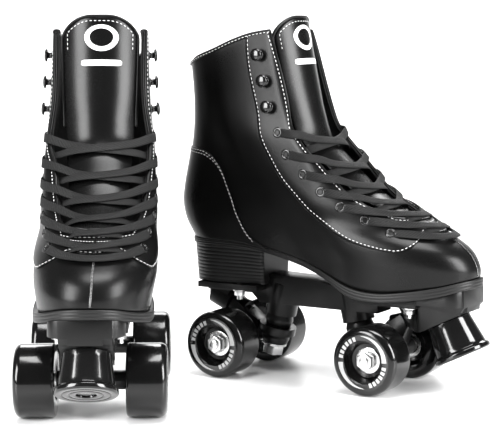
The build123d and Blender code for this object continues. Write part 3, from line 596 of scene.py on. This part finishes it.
def stand(name, bm, finish, replaces=(), thickness=0.0, outward=-1, rounding=0,
          body="boot", smooth=True, sides=SIDES):
    """Makes a piece for each named skate from one right-skate mesh in millimetres."""
    made = []
    for side in sides:
        copy = bm.copy()
        bmesh.ops.transform(copy, matrix=FOOT[side] @ Matrix.Scale(MM, 4), verts=copy.verts)
        if side == "left":
            bmesh.ops.reverse_faces(copy, faces=copy.faces)
        mesh = bpy.data.meshes.new(f"{side}_{name}")
        copy.to_mesh(mesh)
        copy.free()
        shade(mesh, smooth)
        mesh.materials.append(finish.material)
        piece = bpy.data.objects.new(f"{side}_{name}", mesh)
        bpy.context.scene.collection.objects.link(piece)
        if thickness:
            wall = piece.modifiers.new("thickness", "SOLIDIFY")
            wall.thickness, wall.offset, wall.use_even_offset = thickness * MM, outward, False
        if rounding:
            soft = piece.modifiers.new("soft_edges", "SUBSURF")
            soft.levels = soft.render_levels = rounding
        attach(piece, f"{side}_{body}")
        if replaces:
            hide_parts(*[f"{side}_{node}" for node in replaces])
        made.append(piece)
    print(name, len(bm.faces), "faces each")
    bm.free()
    return made


# %% [markdown]
# ## Upper and lining
# The quarters wrap round the heel from one side of the lacing gap to the other, and the vamp closes the toe.
# Two grids that share their edge columns make that shape with the gap left open, so nothing has to be cut.

# %% Upper
ROWS_LOW, ROWS_HIGH, AROUND, TOE_ACROSS = 16, 30, 110, 36


def quarter_place(height):
    def place(u, v):
        row = v * (ROWS_LOW + ROWS_HIGH)

        def turn_at(level):
            start, end = gap_turn(level, 1), 2 * math.pi + gap_turn(level, -1)
            return start + (end - start) * u

        def collar_here(level):
            point = boot(level, turn_at(level))
            return point.z > chord(COLLAR, point.y)

        def sole_here(level):
            point = boot(level, turn_at(level))
            return point.z > chord(SOLE_TOP, point.y) - WELT
        if row <= ROWS_LOW:
            low = solve(0, 4, sole_here)
            level = low + (THROAT - low) * row / ROWS_LOW
        else:
            high = solve(8, 12, collar_here)
            level = THROAT + (high - THROAT) * (row - ROWS_LOW) / ROWS_HIGH
        return skin(level, turn_at(level), height)
    return place


def vamp_place(height):
    def place(u, v):
        def turn_at(level):
            start, end = gap_turn(level, -1), gap_turn(level, 1)
            return start + (end - start) * u

        def sole_here(level):
            point = boot(level, turn_at(level))
            return point.z > chord(SOLE_TOP, point.y) - WELT
        low = solve(0, 4, sole_here)
        level = low + (THROAT - low) * v
        return skin(level, turn_at(level), height)
    return place


def boot_sheet(height):
    bm = grid(AROUND, ROWS_LOW + ROWS_HIGH, quarter_place(height))
    pour(bm, grid(TOE_ACROSS, ROWS_LOW, vamp_place(height)))
    bmesh.ops.remove_doubles(bm, verts=bm.verts, dist=0.05)
    return bm


stand("upper_leather", boot_sheet(0), boot_leatherette, ["upper"], UPPER_T, -1, 1)
LINING_GAP = 0.3
stand("lining_cloth", boot_sheet(-UPPER_T - LINING_GAP), lining, ["lining"], LINING_T, -1, 0)

# %% [markdown]
# ## Facings, heel counter and back stay
# A second layer of leatherette carries the eyelets round the throat, cups the heel and covers the back seam.
# Each is a strip between two lines on the boot, edged with a stitch row a little inside the cut.

# %% Facing lines
# FACING_EDGE is (y, z) seen from the side; THROAT_FRONT is (level, turn) across the vamp.
FACING_EDGE = [(51, 310), (48, 271), (38, 233), (26, 197), (6, 170), (-18, 148), (-50, 129), (-84, 121),
               (-102, 121.5)]
THROAT_FRONT = [(4.12, 0.42), (4.16, 0.2), (4.17, 0.0), (4.16, -0.2), (4.12, -0.42)]
LIFT = 0.1  # how far an overlay stands off the upper


def spread(points, count):
    """Points evenly spread along a smooth curve through the given ones."""
    fine = [Vector(smooth_row(points, i / 24)) for i in range((len(points) - 1) * 24 + 1)]
    marks = [0.0]
    for a, b in zip(fine, fine[1:]):
        marks.append(marks[-1] + (b - a).length)
    rows = list(zip(marks, range(len(fine))))
    found = []
    for i in range(count):
        place = chord(rows, marks[-1] * i / (count - 1))
        index = min(int(place), len(fine) - 2)
        found.append(fine[index].lerp(fine[index + 1], place - index))
    return found


def trimmed(places):
    """Moves the first place of a line down to the collar."""
    a, b = Vector(places[0]), Vector(places[1])

    def inside(t):
        point = boot(*a.lerp(b, t))
        return point.z < chord(COLLAR, point.y)
    return [a.lerp(b, solve(0, 1, inside))] + [Vector(p) for p in places[1:]]


def side_line(rows, side):
    return [Vector(side_place(y, z, side)) for y, z in rows]


inner_side = trimmed(side_line(FACING_EDGE, 1))
outer_side = trimmed(side_line(FACING_EDGE, -1))
facing_outside = spread(inner_side + [Vector(p) for p in THROAT_FRONT] + outer_side[::-1], 181)


def throat_line(count_side, count_front):
    line = []
    for side, order in ((1, 1), (-1, -1)):
        top = edge_top(side)
        levels = [top + (THROAT - 0.02 - top) * i / count_side for i in range(count_side + 1)]
        part = [Vector((level, gap_turn(level, side))) for level in levels]
        line.append(part[::order])
    right, left = line[0][-1], line[1][0]
    front = [right.lerp(left, i / count_front) for i in range(1, count_front)]
    return line[0] + front + line[1]


facing_inside = throat_line(76, 29)
print("facing line", len(facing_outside), len(facing_inside))


# %% Facing
def strip(inside, outside, across, height):
    """A sheet between two lines of (level, turn) places."""
    def place(u, v):
        index = round(u * (len(inside) - 1))
        level, turn = inside[index].lerp(outside[index], v)
        return skin(level, turn, height)
    return grid(len(inside) - 1, across, place)


def line_between(inside, outside, from_outside, height=0.0, start=0, stop=None):
    """Points and normals of a line inside the outer edge, or off the inner one if negative."""
    points, ups = [], []
    for a, b in list(zip(inside, outside))[start:stop]:
        width = (boot(*a) - boot(*b)).length
        share = min(abs(from_outside) / max(width, 0.01), 1)
        place = b.lerp(a, share) if from_outside >= 0 else a.lerp(b, share)
        points.append(skin(place[0], place[1], height))
        ups.append(boot_normal(*place))
    return points, ups


facing_outside = spread(facing_outside, len(facing_inside))
stand("facing", strip(facing_inside, facing_outside, 10, LIFT), boot_leatherette,
      ["overlays"], OVERLAY_T, 1, 1)


# %% Heel counter, back stay and toe seam
COUNTER_EDGE = [(30, 112), (48, 122), (62, 143), (70, 165), (80, 186), (94, 197), (108, 199)]


def mirrored(places):
    """The same places on the other side of the heel."""
    return [Vector((level, 2 * math.pi - turn)) for level, turn in reversed(places)]


counter_half = side_line(COUNTER_EDGE, 1)
counter_back = Vector((solve(3, 9, lambda level: boot(level, math.pi).z > 199), math.pi))
counter_top = spread(counter_half + [counter_back] + mirrored(counter_half), 121)
counter_foot = [Vector((min(sole_level(turn), level), turn)) for level, turn in counter_top]
stand("heel_counter", strip(counter_foot, counter_top, 16, LIFT), boot_leatherette,
      (), OVERLAY_T, 1, 1)

STAY_HALF_W = 8.0
stay_foot = counter_back[0] - 0.15
stay_rise = collar_level(math.pi) - stay_foot
stay_levels = [stay_foot + stay_rise * i / 30 for i in range(31)]


def stay_turn(level):
    """The turn at which the stay's inner edge lies on a level."""
    edge_x = boot(level, math.pi).x + STAY_HALF_W
    return solve(math.pi * 0.75, math.pi, lambda turn: boot(level, turn).x < edge_x)


stay_turns = [stay_turn(level) for level in stay_levels]
stay_inner = [Vector((level, turn)) for level, turn in zip(stay_levels, stay_turns)]
stay_outer = [Vector((level, 2 * math.pi - turn)) for level, turn in zip(stay_levels, stay_turns)]
stand("back_stay", strip(stay_outer, stay_inner, 8, LIFT), boot_leatherette,
      (), OVERLAY_T, 1, 1)

ROUND = [(math.cos(i * math.pi / 4), math.sin(i * math.pi / 4)) for i in range(8)]


def profile(half_wide, half_high, rise=0.0):
    """An oval cross-section as (sideways, up) points."""
    return [(half_wide * a, half_high * b + rise) for a, b in ROUND]


throat_foot = THROAT_FRONT[2][0]
toe_rise = throat_foot - sole_level(0) - 0.3
toe_levels = [sole_level(0) + 0.2 + toe_rise * i / 40 for i in range(41)]
toe_path = [skin(level, 0) for level in toe_levels]
toe_ups = [boot_normal(level, 0) for level in toe_levels]
stand("toe_seam", tube(toe_path, profile(0.9, 0.45), toe_ups), boot_leatherette)
throat_levels = [throat_foot + (THROAT - 0.08 - throat_foot) * i / 16 for i in range(17)]
throat_path = [skin(level, 0, LIFT + OVERLAY_T) for level in throat_levels]
throat_ups = [boot_normal(level, 0) for level in throat_levels]
stand("throat_seam", tube(throat_path, profile(0.8, 0.4), throat_ups), boot_leatherette)


# %% [markdown]
# ## Collar binding
# A strip of thin leatherette is folded over the raw top edge and sewn through. It is a soft flattened tube
# along the edge, from one facing round the heel to the other.

# %% Collar binding
def collar_path(count=150):
    path, ups = [], []
    start, end = gap_turn(edge_top(1), 1), 2 * math.pi + gap_turn(edge_top(-1), -1)
    for i in range(count):
        turn = start + (end - start) * i / (count - 1)
        level = collar_level(turn)
        normal = boot_normal(level, turn)
        path.append(boot(level, turn) - normal * 1.9)
        ahead = boot(level, turn + 0.02) - boot(level, turn - 0.02)
        ups.append(normal.cross(ahead).normalized())
    return path, ups


binding_path, binding_ups = collar_path()
BINDING = [(3.4, -2.8), (3.5, -0.8), (2.7, 0.8), (0, 1.5), (-2.7, 0.8), (-3.2, -0.8), (-3.0, -2.8), (0, -3.2)]
stand("collar_binding", tube(binding_path, BINDING, binding_ups), trim_leatherette,
      rounding=1)

# %% [markdown]
# ## Tongue
# A padded half-pipe behind the laces: foam between two leatherettes, bound round its rim and sewn inside the
# binding. The pad is one even thickness, its face curving back towards its side edges.

# %% Tongue
# half-width, depth behind the boot's front and hollow, at levels 5 to 12
TONGUE = [(21, 8.5, 10), (23, 8.5, 11), (26, 8.5, 12), (28, 8, 14), (28.5, 4.5, 14), (29.5, 2, 13),
          (30.5, 1, 13), (30.5, 1, 13)]
TONGUE_TOP, TONGUE_CORNER, TONGUE_TOP_HALF = 313.0, 26.0, 32.0
TONGUE_T = 4.0


def tongue_at(level, share, height=0.0):
    """A point of the tongue's face; share is -1 and 1 at its side edges."""
    row = smooth_row(SLICES, level)
    half, depth, hollow = smooth_row(TONGUE, level - 5)
    back, front = Vector((0, row[0], row[1])), Vector((0, row[2], row[3]))
    along = (back - front).normalized()
    behind = depth + hollow * share * share - height + 0.5 * share**6
    return front + Vector((row[9] + share * half, 0, 0)) + along * behind


def tongue_top_level(share):
    def above(level):
        point = tongue_at(level, share)
        over = max(abs(point.x - 4) - (TONGUE_TOP_HALF - TONGUE_CORNER), 0)
        return point.z > TONGUE_TOP - TONGUE_CORNER + math.sqrt(max(TONGUE_CORNER**2 - over**2, 0))
    return solve(9, 12, above)


def tongue_place(u, v):
    share = 2 * u - 1
    return tongue_at(5.1 + (tongue_top_level(share) - 5.1) * v, share)


tongue_pieces = stand("tongue_pad", grid(40, 70, tongue_place), tongue_leatherette,
                      ["tongue"], TONGUE_T, -1, 1)


# %% Tongue mark
# A plain ring over a plain bar, printed in white: no letters, and nobody's sign.
def tongue_print(level, share):
    return tongue_at(level, share, 0.12)


def ring_place(u, v):
    turn = 2 * math.pi * u
    reach = 0.70 + 0.30 * v
    return tongue_print(10.92 + 0.26 * reach * math.sin(turn), 0.05 + 0.46 * reach * math.cos(turn))


def bar_place(u, v):
    end = 1 - max(abs(2 * u - 1) - 0.9, 0) * 4
    return tongue_print(10.46 + 0.10 * (v - 0.5) * end, 0.05 + 1.1 * (u - 0.5))


tongue_mark = moulded("tongue_print", 0.86, 0.45, 300, 0.00002)
stand("tongue_ring", grid(48, 4, ring_place, 0.01), tongue_mark)
stand("tongue_bar", grid(30, 4, bar_place, 0.001), tongue_mark)


# %% Tongue binding
def tongue_up(level, share):
    across = tongue_at(level, share + 0.02) - tongue_at(level, share - 0.02)
    rise = tongue_at(level + 0.05, share) - tongue_at(level - 0.05, share)
    return across.cross(rise).normalized()


def tongue_rim(inset, height, low=8.6):
    """Points and normals round the rim, a little inside it."""
    places = []
    for side in (-1, 1):
        edge = side * (1 - inset / 28)
        top = tongue_top_level(edge) - inset * 0.035
        part = [(low + (top - low) * i / 24, edge) for i in range(25)]
        places.append(part[::-side])
    top_row = []
    for i in range(1, 40):
        share = (i / 20 - 1) * (1 - inset / 28)
        top_row.append((tongue_top_level(share) - inset * 0.035, share))
    rim = places[0] + top_row + places[1]
    return [tongue_at(level, share, height) for level, share in rim], [tongue_up(*place) for place in rim]


rim_path, rim_ups = tongue_rim(0, -TONGUE_T / 2)
stand("tongue_binding", tube(rim_path, profile(1.5, 2.7), rim_ups), trim_leatherette,
      rounding=1)

# %% [markdown]
# ## Stitching
# Each stitch is a short length of pale thread, so each is its own tiny bead of twenty faces. A row follows a
# line on the leather a set distance inside an edge.

# %% Stitch rows
stitches = bmesh.new()
ON_OVERLAY = LIFT + OVERLAY_T
points, ups = line_between(facing_inside, facing_outside, 2.2, ON_OVERLAY)
stitch_row(stitches, points, ups)
points, ups = line_between(facing_inside, facing_outside, -3.2, ON_OVERLAY)
stitch_row(stitches, points, ups)
for from_edge in (2.0, 4.6):
    points, ups = line_between(counter_foot, counter_top, from_edge, ON_OVERLAY, 6, -6)
    stitch_row(stitches, points, ups)
for inside, outside in ((stay_outer, stay_inner), (stay_inner, stay_outer)):
    points, ups = line_between(inside, outside, 1.6, ON_OVERLAY)
    stitch_row(stitches, points, ups)
binding_outside = []
for i, (point, up) in enumerate(zip(binding_path, binding_ups)):
    ahead = binding_path[min(i + 1, len(binding_path) - 1)] - binding_path[max(i - 1, 0)]
    out = ahead.cross(up).normalized()
    binding_outside.append((point + out * 3.45 - up * 1.7, out))
stitch_row(stitches, [p for p, _ in binding_outside], [n for _, n in binding_outside])
points, ups = tongue_rim(3.4, 0.1, 10.7)
stitch_row(stitches, points, ups)
# a box of tacking stitches at the throat: its middle's level, half its levels and half its turn
TACK_LEVEL, TACK_RISE, TACK_REACH = 4.62, 0.075, 0.36
tack = []
for i in range(33):
    turn = 2 * math.pi * i / 32
    wide = min(max(1.5 * math.cos(turn), -1), 1)
    tack.append(Vector((TACK_LEVEL + TACK_RISE * math.sin(turn), TACK_REACH * wide)))
tack_points = [skin(*place, ON_OVERLAY) for place in tack]
stitch_row(stitches, tack_points, [boot_normal(*place) for place in tack], 1.7, 0.5)
# the toe seam is sewn over with short fine threads
ACROSS_SEAM = Vector((1.1, 0, 0))
for point, up in list(zip(toe_path, toe_ups))[:-1]:
    over = point + up * 0.3
    stitch_row(stitches, [over - ACROSS_SEAM, over + ACROSS_SEAM], [up, up], 1.9, 0.3, 0.16)
stand("stitching", stitches, thread, smooth=False)

# %% [markdown]
# ## Eyelets and hooks
# Rolled eyelets and speed hooks are turned shapes: a small profile spun about the hole's axis.

# %% Eyelets and hooks
EYELETS = [(15, 215), (6, 197), (-11, 181), (-28, 167), (-46, 155), (-67, 145), (-89, 135)]
HOOKS = [(36, 280), (30, 258), (25, 236)]


def seat(y, z, side):
    """The matrix that stands a part on the leather at (y, z), its axis outwards."""
    level, turn = side_place(y, z, side)
    normal = boot_normal(level, turn)
    place = skin(level, turn, ON_OVERLAY)
    return Matrix.Translation(place) @ normal.to_track_quat("Z", "Y").to_matrix().to_4x4()


def spun(corners, seats, steps=24):
    """Spins a profile of (radius, height) points about each seat's axis."""
    one = bmesh.new()
    verts = [one.verts.new((radius, 0, height)) for radius, height in corners]
    edges = [one.edges.new(pair) for pair in zip(verts, verts[1:])]
    bmesh.ops.spin(one, geom=verts + edges, cent=(0, 0, 0), axis=(0, 0, 1), angle=2 * math.pi,
                   steps=steps, use_merge=True)
    bmesh.ops.remove_doubles(one, verts=one.verts, dist=0.001)
    bmesh.ops.recalc_face_normals(one, faces=one.faces)
    mesh = bpy.data.meshes.new("spun")
    one.to_mesh(mesh)
    one.free()
    bm = bmesh.new()
    for matrix in seats:
        placed = mesh.copy()
        placed.transform(matrix)
        bm.from_mesh(placed)
        bpy.data.meshes.remove(placed)
    bpy.data.meshes.remove(mesh)
    return bm


EYELET = [(0, -0.9), (1.9, -0.9), (2.2, 0.2), (2.6, 0.75), (3.4, 0.85), (4.2, 0.6), (4.6, 0.1), (4.6, -0.3)]
HOOK = [(4.2, -0.3), (4.2, 0.5), (3.7, 0.9), (2.6, 1.2), (2.6, 4.4), (5.1, 4.9), (5.5, 5.4), (5.4, 6.0),
        (4.6, 6.7), (3.0, 7.2), (0, 7.4)]
eyelet_seats = [seat(y, z, side) for side in (1, -1) for y, z in EYELETS]
hook_seats = [seat(y, z, side) for side in (1, -1) for y, z in HOOKS]
stand("eyelet_rings", spun(EYELET, eyelet_seats), FINISHES["black_enamel"], ["eyelets"])
stand("speed_hooks", spun(HOOK, hook_seats), FINISHES["black_enamel"], ["lace_hooks"])

# %% [markdown]
# ## Laces
# A flat woven lace leaves an eyelet, crosses the tongue and goes down behind the other facing. Each visible
# pass is a ribbon along the boot's surface, pressed towards the tongue in the middle. The lowest is a bar.

# %% Laces
LACE_HALF_W = 3.7
LACE_SECTION = [(LACE_HALF_W, 0), (3.3, 0.5), (1.6, 0.65), (0, 0.55), (-1.6, 0.65), (-3.3, 0.5),
                (-LACE_HALF_W, 0), (-3.3, -0.5), (0, -0.55), (3.3, -0.5)]
ON_FACING = ON_OVERLAY + 1.4  # the lace's middle above the upper, where it lies on a facing
ABOVE_TONGUE = 1.9
TUCKED = -5.2
END_SHARE, END_DIP = 0.06, 2.4  # the stretch that dives into an eyelet, and how deep


def lace_pass(start, end, lift, under, count=56):
    """A ribbon from one place to another; under hides its far end behind the leather."""
    edge_from = gap_turn(start[0], 1 if start[1] > 0 else -1)
    edge_to = gap_turn(end[0], 1 if end[1] > 0 else -1)
    path, ups = [], []
    for i in range(count):
        t = i / (count - 1)
        drop = t**2.4 if under else t
        place = Vector((start[0] + (end[0] - start[0]) * drop, start[1] + (end[1] - start[1]) * t))
        across = min(max((place[1] - edge_from) / (edge_to - edge_from), 0), 1)
        depth = boot_normal(place[0], 0).dot(boot(place[0], 0) - tongue_at(place[0], 0))
        open_gap = ease(0, 1, 2 * (place[0] - THROAT) + 0.1)
        pressed = lift + (ABOVE_TONGUE - depth) * open_gap + ON_FACING * (1 - open_gap)
        near = TUCKED if under and across >= 0.5 else ON_FACING
        settle = math.sin(math.pi * across) ** 0.8
        height = near + (pressed - near) * ease(0, 1, settle * 1.15)
        if t < END_SHARE:
            height -= END_DIP * (1 - t / END_SHARE)
        if not under and t > 1 - END_SHARE:
            height -= END_DIP * (1 - (1 - t) / END_SHARE)
        path.append(skin(place[0], place[1], height))
        ups.append(boot_normal(*place))
    bm = tube(path, LACE_SECTION, ups)
    length = sum((b - a).length for a, b in zip(path, path[1:]))
    layer = bm.loops.layers.uv.active
    for face in bm.faces:
        for loop in face.loops:
            along, around = loop[layer].uv
            loop[layer].uv = (around * 2, along * length / (2 * LACE_HALF_W))
    return bm, length


lace = bmesh.new()
lace_length = 0
seats_of = {side: side_line(EYELETS, side) for side in (1, -1)}
for row in range(len(EYELETS) - 1):
    for side in (1, -1):
        lift = 1.5 if side > 0 else 0.0
        one, length = lace_pass(seats_of[side][row], seats_of[-side][row + 1], lift, True)
        pour(lace, one)
        lace_length += length
one, length = lace_pass(seats_of[1][-1], seats_of[-1][-1], 0.8, False)
pour(lace, one)
stand("flat_lace", lace, lace_weave, ["lace"])
print("visible lace", round(lace_length + length), "mm each")

# %% [markdown]
# ## Sole, heel and insole
# The outsole is a ribbed rubber slab that follows the foot's spring; the heel is a stack of thin lifts. Both
# are closed sheets: down the edge, then in to the middle line above and below.

# %% Outsole
SOLE_FOOT = fine_line([(y, z - (7.5 if y < -40 else 5.0)) for y, z in SOLE_POINTS])
# share in to the middle line, share of the thickness down, and millimetres out
SOLE_EDGE = [(1, 0, 0), (0.5, 0, 0), (0.1, 0, 0), (0, 0, -0.3), (0, 0.05, 0.3), (0, 0.22, 0.5),
             (0, 0.30, 0.0), (0, 0.38, 0.5), (0, 0.56, 0.5), (0, 0.64, 0.0), (0, 0.72, 0.4),
             (0, 0.92, 0.3), (0, 1, -0.2), (0.1, 1, 0), (0.5, 1, 0), (1, 1, 0)]


def outward(row, turn):
    ahead = slice_point(row, turn + 0.02) - slice_point(row, turn - 0.02)
    return Vector((ahead.y, -ahead.x, 0)).normalized()


def sole_place(u, v):
    turn = 2 * math.pi * u + 0.01
    inwards, down, out = SOLE_EDGE[len(SOLE_EDGE) - 1 - round(v * (len(SOLE_EDGE) - 1))]
    point = slice_point(SOLE_SLICE, turn) + outward(SOLE_SLICE, turn) * out
    share = (1 + math.cos(turn)) / 2
    centre = SOLE_SLICE[8] + (SOLE_SLICE[9] - SOLE_SLICE[8]) * share
    top, bottom = chord(SOLE_TOP, point.y), chord(SOLE_FOOT, point.y)
    return Vector((point.x + (centre - point.x) * inwards, point.y, top + (bottom - top) * down))


outsole = grid(150, len(SOLE_EDGE) - 1, sole_place)
stand("outsole_rubber", outsole, FINISHES["sole_rubber"], ["outsole"])


# %% Heel
HEEL_FOOT_Z, HEEL_BREAST_Y, HEEL_MIDDLE_Y, LIFTS = 79.0, 44.0, 80, 11
HEEL_TAPER = 2.5


def heel_outline(share, inset):
    """A point round the heel, share 0 to 0.8 round the back and 0.8 to 1 along the breast."""
    row = HEEL_SLICE
    start = solve(0.1, math.pi, lambda t: slice_point(row, t, inset).y > HEEL_BREAST_Y)
    if share <= 0.8:
        return slice_point(row, start + (2 * math.pi - 2 * start) * share / 0.8, inset)
    a, b = slice_point(row, 2 * math.pi - start, inset), slice_point(row, start, inset)
    return a.lerp(b, (share - 0.8) / 0.2)


# share in to the middle, share of the rise, and millimetres cut in
heel_rows = [(1.0, 0.0, 0.0), (0.4, 0.0, 0.0)]
for i in range(LIFTS):
    for rise, groove in ((0.12, 0.0), (0.88, 0.0), (1, 0.35)):
        heel_rows.append((0, (i + rise) / LIFTS, groove))
heel_rows += [(0.4, 1.0, 0.0), (1.0, 1.0, 0.0)]


def heel_place(u, v):
    inwards, rise, groove = heel_rows[round(v * (len(heel_rows) - 1))]
    point = heel_outline(u, HEEL_TAPER * (1 - rise) + groove)
    top = chord(SOLE_FOOT, max(point.y, HEEL_BREAST_Y)) + 0.4
    y = point.y + (HEEL_MIDDLE_Y - point.y) * inwards
    return Vector((point.x * (1 - inwards), y, HEEL_FOOT_Z + (top - HEEL_FOOT_Z) * rise))


heel = grid(80, len(heel_rows) - 1, heel_place)
stand("heel_lifts", heel, FINISHES["heel_stack"], ["heel_block"])


# %% Insole
def insole_place(u, v):
    turn = 2 * math.pi * u + 0.01
    point = slice_point(SOLE_SLICE, turn, 5.5)
    share = (1 + math.cos(turn)) / 2
    centre = SOLE_SLICE[9] * share
    cup = 2.0 * v**3
    return Vector((centre + (point.x - centre) * v, point.y, chord(SOLE_TOP, point.y) + 3.2 + cup))


insole = grid(80, 8, insole_place)
bmesh.ops.recalc_face_normals(insole, faces=insole.faces)
stand("insole_pad", insole, FINISHES["insole_board"], ["insole"], 2.5, 0)
print("sole pieces made")

# %% [markdown]
# ## Printed arcs on the wheels
# Each wheel's outward face carries two pale tapered arcs and, between them, two short rows of plain blocks.
# They are thin sheets lying on the face and turn with their wheel.

# %% Wheel prints
print_white = moulded("wheel_print", 0.52, 0.4, 300, 0.00002)
WHEEL_HALF_W, AXLE_Z, AXLE_Y, TRACK = 16.0, 29.0, 73.0, 87.0
PRINT_OUT, PRINT_T = 0.12, 0.1


def arc_band(start, end, radius_in, radius_out, taper, face_x, centre_y, out, handed):
    """A band on a wheel face, clockwise from the top; taper thins it to nothing at its start."""
    def place(u, v):
        angle = math.pi / 2 - (start + (end - start) * u)
        inner = radius_out - (radius_out - radius_in) * (u**0.7 if taper else 1)
        radius = inner + (radius_out - inner) * v
        right = math.cos(angle) * radius * out * handed
        return Vector((face_x + out * PRINT_OUT, centre_y + right, AXLE_Z + math.sin(angle) * radius))
    return grid(max(int((end - start) * 16), 2), 2, place, 0.001)


def wheel_print(end, side, handed):
    face_x = side * (TRACK / 2 + WHEEL_HALF_W)
    centre_y = end * AXLE_Y
    bm = bmesh.new()
    bands = []
    for half in (0, math.pi):
        bands.append((half - 0.1, half + 1.5, 17.9, 22.2, True))
        for i in range(6):
            at = half + 1.68 + i * 0.2
            bands.append((at, at + 0.13, 18.2, 21.9, False))
    for start, stop, inner, outer, taper in bands:
        one = arc_band(start, stop, inner, outer, taper, face_x, centre_y, side, handed)
        pour(bm, one)
    bmesh.ops.solidify(bm, geom=bm.faces[:], thickness=PRINT_T)
    bmesh.ops.recalc_face_normals(bm, faces=bm.faces)
    return bm


for end, end_name in ((-1, "front"), (1, "rear")):
    for side, side_name in ((-1, "outer"), (1, "inner")):
        for foot, handed in (("right", 1), ("left", -1)):
            stand(f"{end_name}_{side_name}_wheel_print", wheel_print(end, side, handed), print_white,
                  body=f"{end_name}_{side_name}_wheel_set", smooth=False, sides=(foot,))

# %% [markdown]
# ## Floor
# One pale sheet that runs back level and then curves up, so that no horizon shows.


# %% Paper sweep
def sweep_place(u, v):
    run = v * 6.0 - 2.2
    bend = max(run - 1.6, 0)
    rise = bend * bend * 0.35
    return Vector(((u - 0.5) * 9, run - bend * 0.25, rise))


sweep_mesh = bpy.data.meshes.new("paper_sweep")
sweep_bm = grid(8, 60, sweep_place, 0.0001)
sweep_bm.to_mesh(sweep_mesh)
sweep_bm.free()
paper = Finish("paper", Roughness=0.28, Specular_IOR_Level=0.3)
paper.set("Base Color", paper.place.noise(3, 2).blend(grey(0.84), grey(0.86)))
sweep_mesh.materials.append(paper.material)
shade(sweep_mesh)
floor = bpy.data.objects.new("paper_sweep", sweep_mesh)
bpy.context.scene.collection.objects.link(floor)
